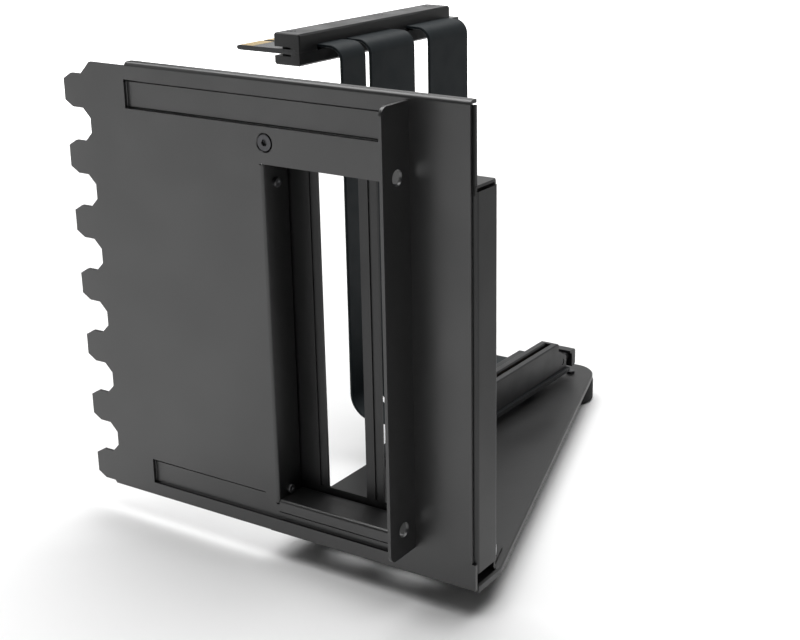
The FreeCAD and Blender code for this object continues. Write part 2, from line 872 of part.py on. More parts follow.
def ribbon_hood():
    """The moulded cover where the ribbons meet the riser board."""
    x0, x1, y0, y1 = hood_box()
    top = board_top + hood_height
    outline = [(x0, board_top), (x1, board_top), (x1, top), (x0 + hood_slant, top), (x0, top - hood_slant)]
    body = prism(outline, 0, xz(y0), v(0, y1 - y0, 0))
    cuts = []
    z0 = board_top + hood_entry
    for near, far in ribbon_spans():
        cuts.append(block(x0 - 1, x0 + ribbon_seat, near, far, z0, z0 + ribbon_t))
    return less(body, cuts)


def ribbon(near, far):
    """One flat ribbon: out of the plug, down, and into the hood of the riser board."""
    x0 = card_x - board_left
    z_low = board_top + hood_entry
    z_top = plug_board_top
    end_x = plug_right - ribbon_in_plug
    line = [(x0 + ribbon_seat, z_low), (ribbon_x - ribbon_t, z_low)]
    line += [(ribbon_x - ribbon_t, z_top), (end_x, z_top)]
    other = [(end_x, z_top + ribbon_t), (ribbon_x, z_top + ribbon_t)]
    other += [(ribbon_x, z_low + ribbon_t), (x0 + ribbon_seat, z_low + ribbon_t)]
    half = ribbon_t / 2
    low = ribbon_low_bend
    high = ribbon_top_bend
    radii = [0, low + half, high - half, 0, 0, high + half, low - half, 0]
    return prism(line + other, radii, xz(near), v(0, far - near, 0))


def plug_screw_places():
    """Centres of the plug's screws on its top face."""
    x = plug_x + plug_screw_x
    places = (plug_y + plug_screw_ends, plug_y + plug_screw_middle, plug_end_y - plug_screw_ends)
    return [v(x, y, plug_top) for y in places]


def connector_board():
    """The plug's board: keyed edge tongue, body and hooked tail."""
    tip = plug_x - tongue_reach
    back = plug_right - board_in_plug
    key = plug_y + edge_short
    notch_end = key + edge_notch
    long_end = plug_y + tongue_length
    root = plug_end_y - tail_root
    tail_y = plug_end_y + tail_reach
    inner = tip + tongue_notch_depth
    corner = tongue_corner
    points = [(tip + corner, plug_y), (back, plug_y), (back, root), (tail_x, root), (tail_x, tail_y)]
    points += [(tail_x - tail_width, tail_y), (tail_x - tail_width, plug_end_y), (plug_x - 1, plug_end_y)]
    points += [(plug_x - 1, long_end), (tip + corner, long_end), (tip, long_end - corner)]
    points += [(tip, notch_end + corner), (tip + corner, notch_end), (inner, notch_end), (inner, key)]
    points += [(tip + corner, key), (tip, key - corner), (tip, plug_y + corner)]
    radii = [0] * len(points)
    notch = points.index((inner, notch_end))
    radii[notch] = edge_notch / 2
    radii[notch + 1] = edge_notch / 2
    body = prism(points, radii, xy(plug_board_z), v(0, 0, board_t))
    cuts = []
    for z, side in ((plug_board_z, 1), (plug_board_top, -1)):
        wedge = [(tip, z), (tip + tongue_bevel_length, z), (tip, z + side * tongue_bevel)]
        cuts.append(prism(wedge, 0, xz(plug_y), v(0, tongue_length, 0)))
    for p in plug_screw_places():
        cuts.append(rod(plug_screw_r + board_hole_clear, v(p.x, p.y, plug_z), v(p.x, p.y, p.z)))
    return less(body, cuts)


def plug_shell():
    """The outer form of the plug's housing, before it is split."""
    body = block(plug_x, plug_right, plug_y, plug_end_y, plug_z, plug_top)
    long_edges = [e for e in body.Edges if e.BoundBox.YLength > slot_length / 2]
    body = body.makeChamfer(plug_cut, long_edges)
    ends = [e for e in body.Edges if e.BoundBox.YLength < 0.001]
    return body.makeChamfer(plug_end_cut, ends)


def plug_hollow():
    """The space inside the housing for the board, its mouth and the ribbons."""
    c = plug_slot_clear
    low = plug_board_z - c
    high = plug_board_top + c
    root = plug_end_y - tail_root
    mouth_x = plug_x + plug_mouth_depth
    mouth_y = plug_y + plug_mouth_length
    back = plug_right - board_in_plug
    spaces = [block(plug_x - 1, back, plug_y - 1, root, plug_board_z, plug_board_top)]
    spaces.append(block(plug_x - 1, tail_x, root, plug_end_y + 1, plug_board_z, plug_board_top))
    spaces.append(block(plug_x - 1, plug_x + plug_mouth_step, plug_y - 1, plug_end_y - 2, low, high))
    spaces.append(block(plug_x - 1, mouth_x, plug_y - 1, mouth_y, low, high))
    for near, far in ribbon_spans():
        start = plug_right - ribbon_in_plug
        top = plug_board_top + ribbon_t
        spaces.append(block(start, plug_right + 1, near, far, plug_split, top))
    return spaces


def connector_cover_top():
    upper = block(plug_x - 1, plug_right + 1, plug_y - 1, plug_end_y + 1, plug_split, plug_top + 1)
    cuts = plug_hollow()
    for p in plug_screw_places():
        cuts.append(flat_screw_hole(plug_head_r, plug_screw_r, plug_height, p, v(0, 0, -1)))
    return less(plug_shell().common(upper), cuts)


def connector_cover_bottom():
    lower = block(plug_x - 1, plug_right + 1, plug_y - 1, plug_end_y + 1, plug_z - 1, plug_split)
    cuts = plug_hollow()
    for p in plug_screw_places():
        cuts.append(rod(plug_screw_r + thread_clear, v(p.x, p.y, plug_z + plug_floor), p))
    return less(plug_shell().common(lower), cuts)


def connector_screws():
    screws = []
    for p in plug_screw_places():
        length = plug_height - 2 * plug_floor
        screws.append(flat_screw(plug_head_r, plug_screw_r, length, p, v(0, 0, -1)))
    return Part.Compound(screws)


def build():
    parts = {
        "rear_plate": rear_plate(),
        "slot_frame": slot_frame(),
        "tray": tray(),
        "foot_pad": foot_pad(),
        "foot_screw": foot_screw(),
        "plate_screw": plate_screw(),
        "flap_screws": flap_screws(),
        "tray_screws": tray_screws(),
        "tray_nuts": tray_nuts(),
        "riser_board": riser_board(),
        "riser_spacers": riser_spacers(),
        "riser_screws": riser_screws(),
        "riser_slot": riser_slot(),
        "slot_contacts": slot_contacts(),
        "slot_latch": slot_latch(),
        "ribbon_hood": ribbon_hood(),
        "connector_board": connector_board(),
        "connector_cover_top": connector_cover_top(),
        "connector_cover_bottom": connector_cover_bottom(),
        "connector_screws": connector_screws(),
    }
    for name, (near, far) in zip(ribbon_names, ribbon_spans()):
        parts[name] = ribbon(near, far)
    return parts


def origin():
    """The bottom centre of the box round the whole object."""
    return v(side_outer / 2, (tray_end_y - flange_depth) / 2, floor_z)


os.makedirs("parts", exist_ok=True)
shift = origin().multiply(-1)
for name, shape in build().items():
    shape.translate(shift)
    shape.exportStep("parts/" + name + ".step")
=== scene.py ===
"""Vertical graphics card bracket with its riser: finishes, fine pieces, light and camera.

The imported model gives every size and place. Lengths are in metres, in the row's own frame:
+X runs along the rear plate, +Y into the case, +Z up, and the floor is at Z 0.
"""
import math

import bmesh
import bpy
import numpy as np
from bpy.props import FloatProperty, FloatVectorProperty, IntProperty, PointerProperty
from mathutils import Matrix, Vector


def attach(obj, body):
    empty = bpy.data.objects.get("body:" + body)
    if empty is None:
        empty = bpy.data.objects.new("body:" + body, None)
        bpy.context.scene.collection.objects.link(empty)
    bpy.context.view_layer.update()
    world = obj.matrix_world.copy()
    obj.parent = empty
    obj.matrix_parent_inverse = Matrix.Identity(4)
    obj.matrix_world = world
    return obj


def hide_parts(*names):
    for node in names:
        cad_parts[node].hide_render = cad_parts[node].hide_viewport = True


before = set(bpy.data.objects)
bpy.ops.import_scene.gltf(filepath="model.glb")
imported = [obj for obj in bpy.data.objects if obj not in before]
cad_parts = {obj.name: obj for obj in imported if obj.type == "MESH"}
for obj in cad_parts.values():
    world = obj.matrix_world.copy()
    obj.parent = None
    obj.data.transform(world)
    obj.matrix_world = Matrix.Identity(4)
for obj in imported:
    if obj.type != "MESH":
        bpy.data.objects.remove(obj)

bl_info = {
    "name": "Vertical graphics card bracket",
    "version": (1, 0, 0),
    "blender": (4, 5, 0),
    "location": "3D View > Sidebar > Bracket",
    "description": "Finishes a card bracket and its riser, and lights it",
    "category": "Object",
}

MM = 0.001

# Corners nearer than this are one corner, and faces flatter than this are one face.
WELD_REACH = 0.002 * MM
FLAT_ANGLE = math.radians(0.4)

# Edges sharper than this are rounded.
EDGE_ANGLE = math.radians(28)

# A corner that is no farther than this from a plane counts as on it.
ON_PLANE = 0.01 * MM

# Half the width of a crease in the paint, and its depth.
CREASE_HALF = 0.3 * MM
CREASE_DEPTH = 0.5 * MM

# Pitch of the tracks under the boards' solder mask, and of the wires in a ribbon.
TRACK_PITCH = 0.5 * MM
WIRE_PITCH = 0.635 * MM

# Between these two places, in X and in Y, the floor's dim side fades in.
DIM_ACROSS = (-0.05, 0.15)
DIM_ALONG = (-0.15, 0.1)

# Sockets of the Mix node while it mixes colours.
MIX_SHARE = 0
MIX_FIRST = 6
MIX_SECOND = 7
MIX_RESULT = 2

# Width of the frame that the camera's focal length goes with, in millimetres.
FRAME_WIDTH = 36.0

# The place that the lights look at.
LIT_MIDDLE = (0.0, 0.0, 0.07)

# Each light's name, azimuth and elevation in degrees, distance, width and height in metres,
# and the property with its power. Azimuth 0 stands in front of the plate.
LIGHTS = (
    ("top_light", -135, 78, 1.2, (1.6, 1.6), "top_power"),
    ("back_light", 185, 12, 1.6, (2.6, 0.7), "back_power"),
    ("key_light", -58, 24, 0.9, (0.5, 0.5), "key_power"),
)


class Value:
    """A number, colour or vector in a material, with the sums that Python can write."""

    def __init__(self, paint, socket):
        self.paint = paint
        self.socket = socket

    def sum_of(self, operation, *others):
        """One step of arithmetic on this value and the others, in their order."""
        inputs = dict(enumerate((self,) + others))
        return self.paint.node("ShaderNodeMath", {"operation": operation}, inputs)

    def __add__(self, other):
        return self.sum_of("ADD", other)

    __radd__ = __add__

    def __sub__(self, other):
        return self.sum_of("SUBTRACT", other)

    def __rsub__(self, other):
        inputs = {0: other, 1: self}
        return self.paint.node("ShaderNodeMath", {"operation": "SUBTRACT"}, inputs)

    def __mul__(self, other):
        return self.sum_of("MULTIPLY", other)

    def __truediv__(self, other):
        return self.sum_of("DIVIDE", other)

    def __gt__(self, other):
        return self.sum_of("GREATER_THAN", other)

    def sine(self):
        return self.sum_of("SINE")

    def size(self):
        """The value without its sign."""
        return self.sum_of("ABSOLUTE")

    def least(self, other):
        return self.sum_of("MINIMUM", other)

    def most(self, other):
        return self.sum_of("MAXIMUM", other)

    def ramp(self, low, high, start=0.0, end=1.0):
        """Smoothly from start to end while the value goes from low to high."""
        settings = {"interpolation_type": "SMOOTHSTEP"}
        inputs = {"Value": self, "From Min": low, "From Max": high}
        inputs.update({"To Min": start, "To Max": end})
        return self.paint.node("ShaderNodeMapRange", settings, inputs)


class Paint:
    """A material under construction, on object coordinates."""

    def __init__(self, name):
        self.material = bpy.data.materials.new(name)
        self.material.use_nodes = True
        self.tree = self.material.node_tree
        self.shader = self.tree.nodes["Principled BSDF"]
        place = self.tree.nodes.new("ShaderNodeTexCoord")
        self.place = Value(self, place.outputs["Object"])

    def node(self, kind, settings, inputs, output=0):
        """Adds any node: its settings first, then the values or links of its sockets."""
        made = self.tree.nodes.new(kind)
        for key, value in settings.items():
            setattr(made, key, value)
        for key, value in inputs.items():
            self.feed(made.inputs[key], value)
        return Value(self, made.outputs[output])

    def feed(self, socket, value):
        """Links a value to a socket, or sets a plain number or colour on it."""
        if isinstance(value, Value):
            self.tree.links.new(value.socket, socket)
        else:
            socket.default_value = value

    def axis(self, index):
        """One coordinate of the place, in metres."""
        return self.node("ShaderNodeSeparateXYZ", {}, {"Vector": self.place}, index)

    def noise(self, grain, detail=2.0, rough=0.5, place=None):
        """Cloudy noise from 0 to 1 whose lumps are about one grain across, in metres."""
        inputs = {"Vector": place or self.place, "Scale": 1 / grain}
        inputs.update({"Detail": detail, "Roughness": rough})
        return self.node("ShaderNodeTexNoise", {}, inputs)

    def cells(self, grain):
        """Distance to the nearest of scattered points, about one grain apart."""
        return self.node("ShaderNodeTexVoronoi", {}, {"Vector": self.place, "Scale": 1 / grain})

    def stretched(self, x, y, z):
        """The place with each axis scaled, for streaks along the smallest."""
        inputs = {0: self.place, 1: (x, y, z)}
        return self.node("ShaderNodeVectorMath", {"operation": "MULTIPLY"}, inputs)

    def blend(self, share, first, second):
        """From the first colour to the second as the share goes from 0 to 1."""
        inputs = {MIX_SHARE: share, MIX_FIRST: first + (1.0,), MIX_SECOND: second + (1.0,)}
        return self.node("ShaderNodeMix", {"data_type": "RGBA"}, inputs, MIX_RESULT)

    def bump(self, height, depth, strength=1.0):
        """A normal from a height of 0 to 1 that stands for this depth in metres."""
        inputs = {"Height": height, "Distance": depth, "Strength": strength}
        return self.node("ShaderNodeBump", {}, inputs)

    def finish(self, **sockets):
        """Sets the shader's sockets by their names, with _ for a space, and returns the material."""
        for key, value in sockets.items():
            self.feed(self.shader.inputs[key.replace("_", " ")], value)
        return self.material


def shade(colour, share):
    """The colour with each of its three parts times this share."""
    return tuple(part * share for part in colour)


def powder_coat(name, colour, rough, shine, creases=()):
    """Baked powder paint: a fine leathery skin with faint clouds in tone and gloss.

    Shine is the level of its reflections, and the creases are pressed into its skin.
    """
    p = Paint(name)
    fine = p.noise(0.35 * MM, 3.0, 0.6)
    skin = p.noise(1.1 * MM)
    cloud = p.noise(24 * MM)
    grain = skin * 0.6 + fine * 0.4
    tone = p.blend(cloud * 0.6 + fine * 0.4, colour, shade(colour, 1.18))
    gloss = cloud.ramp(0.3, 0.7, rough - 0.03, rough + 0.04) + (fine - 0.5) * 0.10
    if creases:
        normal = p.bump(creased(p, creases) + grain * 0.035, CREASE_DEPTH)
    else:
        normal = p.bump(grain, 0.035 * MM, 0.5)
    return p.finish(Base_Color=tone, Roughness=gloss, Normal=normal, Specular_IOR_Level=shine)


def creased(p, creases):
    """A height of 1 that falls to 0 along the middle of each crease.

    Each crease runs along X, from one X to another at a Z, all in metres.
    """
    x = p.axis(0)
    z = p.axis(2)
    level = 1.0
    for start, end, height in creases:
        across = (z - height).size().ramp(0.0, CREASE_HALF)
        beside = (x - (start + end) / 2).size() > (end - start) / 2
        level = across.most(beside).least(level)
    return level


def moulded_plastic(name, colour, rough):
    """Moulded plastic with a spark-eroded grain."""
    p = Paint(name)
    pits = p.cells(0.22 * MM)
    cloud = p.noise(9 * MM)
    tone = p.blend(pits.ramp(0.1, 0.7), shade(colour, 0.85), shade(colour, 1.12))
    gloss = cloud.ramp(0.3, 0.7, rough - 0.04, rough + 0.05)
    return p.finish(Base_Color=tone, Roughness=gloss, Normal=p.bump(pits, 0.02 * MM, 0.45))


def rubber(name, colour):
    """Soft rubber: dull, with fine dust-like mottling."""
    p = Paint(name)
    grain = p.noise(0.3 * MM, 3.0, 0.6)
    cloud = p.noise(5 * MM)
    tone = p.blend(cloud * 0.5 + grain * 0.5, colour, shade(colour, 1.5))
    normal = p.bump(grain, 0.03 * MM, 0.6)
    return p.finish(Base_Color=tone, Roughness=0.78 + grain * 0.12, Normal=normal)


def plated_steel(name, colour, rough):
    """Plated steel of screws and nuts, with fine turning marks and dull patches."""
    p = Paint(name)
    marks = p.noise(0.12 * MM, 2.0, 0.6)
    cloud = p.noise(1.6 * MM, 2.0, 0.6)
    tone = p.blend(cloud, shade(colour, 0.8), shade(colour, 1.2))
    gloss = cloud.ramp(0.25, 0.75, rough - 0.08, rough + 0.1)
    normal = p.bump(marks, 0.008 * MM, 0.5)
    return p.finish(Base_Color=tone, Metallic=1.0, Roughness=gloss, Normal=normal)


def circuit_board(name, colour):
    """Black solder mask over copper: faint tracks along Y under a semi-gloss skin."""
    p = Paint(name)
    x = p.axis(0)
    tracks = (x / TRACK_PITCH * math.tau).sine().ramp(0.1, 0.5)
    weave = p.noise(0.25 * MM)
    tone = p.blend(tracks * 0.7 + weave * 0.3, colour, shade(colour, 1.9))
    normal = p.bump(tracks * 0.6 + weave * 0.4, 0.02 * MM, 0.5)
    return p.finish(Base_Color=tone, Roughness=0.24 + weave * 0.1, Normal=normal)


def gold_plate(name, colour):
    """Thin gold on contacts, with a slight rub along their length."""
    p = Paint(name)
    streaks = p.noise(0.2 * MM, 2.0, 0.6, p.stretched(0.15, 1.0, 1.0))
    tone = p.blend(streaks, shade(colour, 0.88), colour)
    normal = p.bump(streaks, 0.004 * MM, 0.4)
    return p.finish(Base_Color=tone, Metallic=1.0, Roughness=0.22 + streaks * 0.15, Normal=normal)


def ribbon_jacket(name, colour):
    """Flexible jacket over a row of wires that run the ribbon's length, side by side along Y."""
    p = Paint(name)
    y = p.axis(1)
    wires = (y / WIRE_PITCH * math.tau).sine() * 0.5 + 0.5
    cloud = p.noise(11 * MM)
    grain = p.noise(0.2 * MM, 2.0, 0.6)
    tone = p.blend(cloud * 0.7 + grain * 0.3, shade(colour, 0.9), shade(colour, 1.15))
    gloss = cloud.ramp(0.3, 0.7, 0.54, 0.62)
    normal = p.bump(wires * 0.85 + grain * 0.15, 0.03 * MM, 0.35)
    return p.finish(Base_Color=tone, Roughness=gloss, Normal=normal, Specular_IOR_Level=0.3)


def pale_floor(name, colour, sizes):
    """A plain pale floor that fades into a white sweep away from the object.

    Reflections see the sweep dimmer than the camera does, and the floor at the back right
    darker, which keeps the object's right side as dark as in the photograph.
    """
    p = Paint(name)
    seen = p.node("ShaderNodeLightPath", {}, {}, "Is Camera Ray")
    right = p.axis(0).ramp(*DIM_ACROSS)
    behind = p.axis(1).ramp(*DIM_ALONG)
    dim = right * behind * seen.ramp(0.0, 1.0, 1.0, 0.0)
    tone = p.blend(dim, colour, shade(colour, sizes.dim_side))
    away = p.node("ShaderNodeVectorMath", {"operation": "LENGTH"}, {0: p.place}, "Value")
    sweep = away.ramp(sizes.glow_start, sizes.glow_full)
    white = seen.ramp(0.0, 1.0, sizes.glow_mirrored, 1.0)
    glow = p.blend(sweep * white * (1.0 - dim), (0.0, 0.0, 0.0), (1.0, 1.0, 1.0))
    return p.finish(
        Base_Color=tone, Roughness=0.9, Specular_IOR_Level=0.1,
        Emission_Color=glow, Emission_Strength=1.0,
    )


def finish_of(name, make, *values):
    """The material of this name, made the first time that it's asked for."""
    return bpy.data.materials.get(name) or make(name, *values)


def black_screw():
    """Black zinc on screws."""
    return finish_of("screw_black", plated_steel, (0.09, 0.09, 0.095), 0.38)


def zinc_nut():
    """Bright zinc on nuts and spacers."""
    return finish_of("zinc_bright", plated_steel, (0.55, 0.55, 0.57), 0.3)


def contact_gold():
    """Pale gold on pads and spring contacts."""
    return finish_of("contact_gold", gold_plate, (0.92, 0.75, 0.44))


def read_places(mesh):
    """The corners of a mesh, as rows of X, Y and Z."""
    places = np.empty(len(mesh.vertices) * 3, dtype=np.float32)
    mesh.vertices.foreach_get("co", places)
    return places.reshape(-1, 3)


def write_places(mesh, places):
    """Moves the corners of a mesh to these rows of X, Y and Z."""
    mesh.vertices.foreach_set("co", places.ravel())
    mesh.update()


def node_box(name):
    """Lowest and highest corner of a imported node, in metres."""
    places = read_places(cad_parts[name].data)
    return places.min(axis=0), places.max(axis=0)


def plate_front():
    """The Y of the rear plate's outer face: the plate screw's head lies flush in it."""
    return float(node_box("plate_screw")[0][1])


def clean_copy(name):
    """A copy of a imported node's mesh, with doubles merged and flat faces joined."""
    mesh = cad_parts[name].data.copy()
    mesh.name = name + "_form"
    work = bmesh.new()
    work.from_mesh(mesh)
    bmesh.ops.remove_doubles(work, verts=work.verts, dist=WELD_REACH)
    bmesh.ops.dissolve_limit(work, angle_limit=FLAT_ANGLE, verts=work.verts, edges=work.edges)
    work.to_mesh(mesh)
    work.free()
    mesh.shade_smooth()
    return mesh


def finished_piece(name, mesh, nodes, body, material, edge, segments=2):
    """Stands a finished mesh in for its nodes, with edges rounded by this width in metres."""
    piece = bpy.data.objects.new(name, mesh)
    bpy.context.scene.collection.objects.link(piece)
    mesh.materials.clear()
    mesh.materials.append(material)
    bevel = piece.modifiers.new("edges", "BEVEL")
    bevel.width = edge
    bevel.segments = segments
    bevel.limit_method = "ANGLE"
    bevel.angle_limit = EDGE_ANGLE
    flats = piece.modifiers.new("flats", "WEIGHTED_NORMAL")
    flats.mode = "FACE_AREA"
    flats.weight = 100
    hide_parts(*nodes)
    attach(piece, body)


def rounded(name, body, material, edge, segments=2):
    """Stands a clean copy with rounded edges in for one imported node."""
    mesh = clean_copy(name)
    finished_piece(name + "_form", mesh, [name], body, material, edge, segments)


def square_strips(mesh, sizes):
    """Makes the walls of the plate's pressed strips upright, and the strips deeper.

    Each corner of a strip's floor takes the X and Z of the nearest corner of its rim; corners of
    the window's bends at the same depth lie nearer, and those of the fold farther. The lower
    strip ends short of the case flange. Returns the corners of the strips' floors.
    """
    places = read_places(mesh)
    front = plate_front()
    depth = front + sizes.strip_depth
    floor = np.abs(places[:, 1] - (front + sizes.strip_floor)) < ON_PLANE
    rims = places[np.abs(places[:, 1] - front) < ON_PLANE]
    moved = []
    for index in np.flatnonzero(floor):
        across = rims[:, 0] - places[index, 0]
        upward = rims[:, 2] - places[index, 2]
        away = np.hypot(across, upward)
        nearest = int(away.argmin())
        aside = max(abs(across[nearest]), abs(upward[nearest]))
        if aside > sizes.strip_near and away[nearest] < sizes.strip_reach:
            places[index] = (rims[nearest, 0], depth, rims[nearest, 2])
            moved.append(index)
    lowest = places[moved, 2].min()
    end = places[moved, 0].max()
    short = np.abs(places[:, 0] - end) < ON_PLANE
    short &= places[:, 1] < depth + ON_PLANE
    short &= places[:, 2] > lowest - ON_PLANE
    short &= places[:, 2] < lowest + sizes.strip_low
    places[short, 0] -= sizes.strip_short
    write_places(mesh, places)
    return places[moved]


def strip_creases(corners, sizes):
    """Creases in the strips' floors, each as its two ends in X and its Z.

    One runs below each upper edge, and one above the upper strip's lower edge.
    """
    middle = (corners[:, 2].min() + corners[:, 2].max()) / 2
    upper = corners[corners[:, 2] > middle]
    lower = corners[corners[:, 2] < middle]
    narrow = lower[lower[:, 2] < lower[:, 2].min() + sizes.strip_low]
    creases = []
    for part, drop in (
            (upper, sizes.crease_upper), (lower, sizes.crease_lower), (narrow, sizes.crease_lower)):
        edge = part[part[:, 2] > part[:, 2].max() - ON_PLANE]
        start = float(edge[:, 0].min())
        end = float(edge[:, 0].max())
        creases.append((start, end, float(edge[:, 2].max()) - drop))
    start, end, _ = creases[0]
    creases.append((start, end, float(upper[:, 2].min()) + sizes.crease_foot))
    return creases


def narrower(mesh, share):
    """Thins a screw that lies along Y, about its own middle, so that a dark ring shows round it."""
    places = read_places(mesh)
    middle = (places.min(axis=0) + places.max(axis=0)) / 2
    places[:, 0::2] = middle[0::2] + (places[:, 0::2] - middle[0::2]) * share
    write_places(mesh, places)
    return mesh


def flat_blocks(name, lows, highs):
    """One mesh of many upright boxes, from arrays of their lowest and highest corners."""
    count = len(lows)
    ends = (0, 1)
    corner = np.array([(x, y, z) for z in ends for y in ends for x in ends], dtype=np.float32)
    lows = np.asarray(lows, dtype=np.float32)[:, None, :]
    highs = np.asarray(highs, dtype=np.float32)[:, None, :]
    places = (lows + (highs - lows) * corner[None, :, :]).reshape(-1, 3)
    sides = np.array([
        (0, 2, 3, 1), (4, 5, 7, 6), (0, 1, 5, 4),
        (2, 6, 7, 3), (0, 4, 6, 2), (1, 3, 7, 5),
    ])
    faces = (sides[None, :, :] + len(corner) * np.arange(count)[:, None, None]).reshape(-1, 4)
    mesh = bpy.data.meshes.new(name)
    mesh.from_pydata(places.tolist(), [], faces.tolist())
    return mesh


def edge_pads(sizes):
    """Both faces of the tongue get two rows of pads, one each side of the notch.

    Pad i of a row of n stands at middle + (i - (n - 1) / 2) * pitch along Y.
    """
    low, high = node_box("connector_board")
    rows = ((sizes.short, sizes.short_middle), (sizes.long, sizes.long_middle))
    offsets = [m + (np.arange(n) - (n - 1) / 2) * sizes.pitch for n, m in rows]
    middles = np.concatenate(offsets) + low[1]
    start = low[0] + sizes.tip_gap
    half = sizes.width / 2
    lows = []
    highs = []
    for base in (low[2] - sizes.thick, high[2]):
        for y in middles:
            lows.append((start, y - half, base))
            highs.append((start + sizes.length, y + half, base + sizes.thick))
    mesh = flat_blocks("edge_pads", lows, highs)
    pads = bpy.data.objects.new("edge_pads", mesh)
    bpy.context.scene.collection.objects.link(pads)
    mesh.materials.append(contact_gold())
    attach(pads, "bracket")


def studio_world(sizes):
    """White behind the object for the camera, dim all round for its light."""
    world = bpy.data.worlds.new("studio")
    world.use_nodes = True
    tree = world.node_tree
    back = tree.nodes["Background"]
    path = tree.nodes.new("ShaderNodeLightPath")
    strength = tree.nodes.new("ShaderNodeMapRange")
    strength.inputs["To Min"].default_value = sizes.sky
    strength.inputs["To Max"].default_value = sizes.backdrop
    tree.links.new(path.outputs["Is Camera Ray"], strength.inputs["Value"])
    tree.links.new(strength.outputs["Result"], back.inputs["Strength"])
    back.inputs["Color"].default_value = (1.0, 1.0, 1.0, 1.0)
    return world


def direction(azimuth, elevation):
    """The way from the object to a place at these angles; azimuth 0 is in front of the plate."""
    flat = math.cos(elevation)
    return Vector((math.sin(azimuth) * flat, -math.cos(azimuth) * flat, math.sin(elevation)))


def camera_matrix(sizes):
    """The camera's axes from its angles, and its place."""
    back = direction(sizes.azimuth, sizes.elevation)
    right = Vector((math.cos(sizes.azimuth), math.sin(sizes.azimuth), 0.0))
    up = back.cross(right)
    turned_right = math.cos(sizes.roll) * right + math.sin(sizes.roll) * up
    turned_up = math.cos(sizes.roll) * up - math.sin(sizes.roll) * right
    turn = Matrix((turned_right, turned_up, back)).transposed().to_4x4()
    return Matrix.Translation(Vector(sizes.camera_place)) @ turn


def soft_light(name, azimuth, elevation, distance, size, power):
    """A rectangular soft light that looks at the middle of the object."""
    back = direction(math.radians(azimuth), math.radians(elevation))
    lamp = bpy.data.lights.new(name, "AREA")
    lamp.shape = "RECTANGLE"
    lamp.size, lamp.size_y = size
    lamp.energy = power
    holder = bpy.data.objects.new(name, lamp)
    holder.visible_camera = False
    bpy.context.scene.collection.objects.link(holder)
    turn = back.to_track_quat("Z", "Y").to_matrix().to_4x4()
    holder.matrix_world = Matrix.Translation(Vector(LIT_MIDDLE) + back * distance) @ turn


def stand_camera(sizes):
    """Stands the camera at the photograph's angle and makes it the scene's own."""
    camera = bpy.data.cameras.new("camera")
    camera.lens = sizes.lens
    camera.sensor_width = FRAME_WIDTH
    camera.shift_x = sizes.shift_x
    camera.shift_y = sizes.shift_y
    camera.clip_start = 0.01
    stand = bpy.data.objects.new("camera", camera)
    bpy.context.scene.collection.objects.link(stand)
    stand.matrix_world = camera_matrix(sizes)
    bpy.context.scene.camera = stand


class PadSizes(bpy.types.PropertyGroup):
    """Gold pads of the edge tongue, after the standard of its slot."""

    pitch: FloatProperty(
        name="Pitch", description="From one pad to the next",
        default=1.0 * MM, unit="LENGTH",
    )
    width: FloatProperty(
        name="Width", description="Width of one pad",
        default=0.7 * MM, unit="LENGTH",
    )
    length: FloatProperty(
        name="Length", description="Length of one pad",
        default=5.2 * MM, unit="LENGTH",
    )
    tip_gap: FloatProperty(
        name="Tip gap", description="From the tongue's tip to the pads",
        default=1.5 * MM, unit="LENGTH",
    )
    thick: FloatProperty(
        name="Thickness", description="How far the gold stands off the board",
        default=0.03 * MM, unit="LENGTH",
    )
    short: IntProperty(
        name="Short row", description="Pads on the short side of the notch",
        default=11,
    )
    long: IntProperty(
        name="Long row", description="Pads on the long side of the notch",
        default=71,
    )
    short_middle: FloatProperty(
        name="Short middle",
        description="From the tongue's near end to the middle of the short row",
        default=5.825 * MM, unit="LENGTH",
    )
    long_middle: FloatProperty(
        name="Long middle",
        description="From the tongue's near end to the middle of the long row",
        default=49.225 * MM, unit="LENGTH",
    )


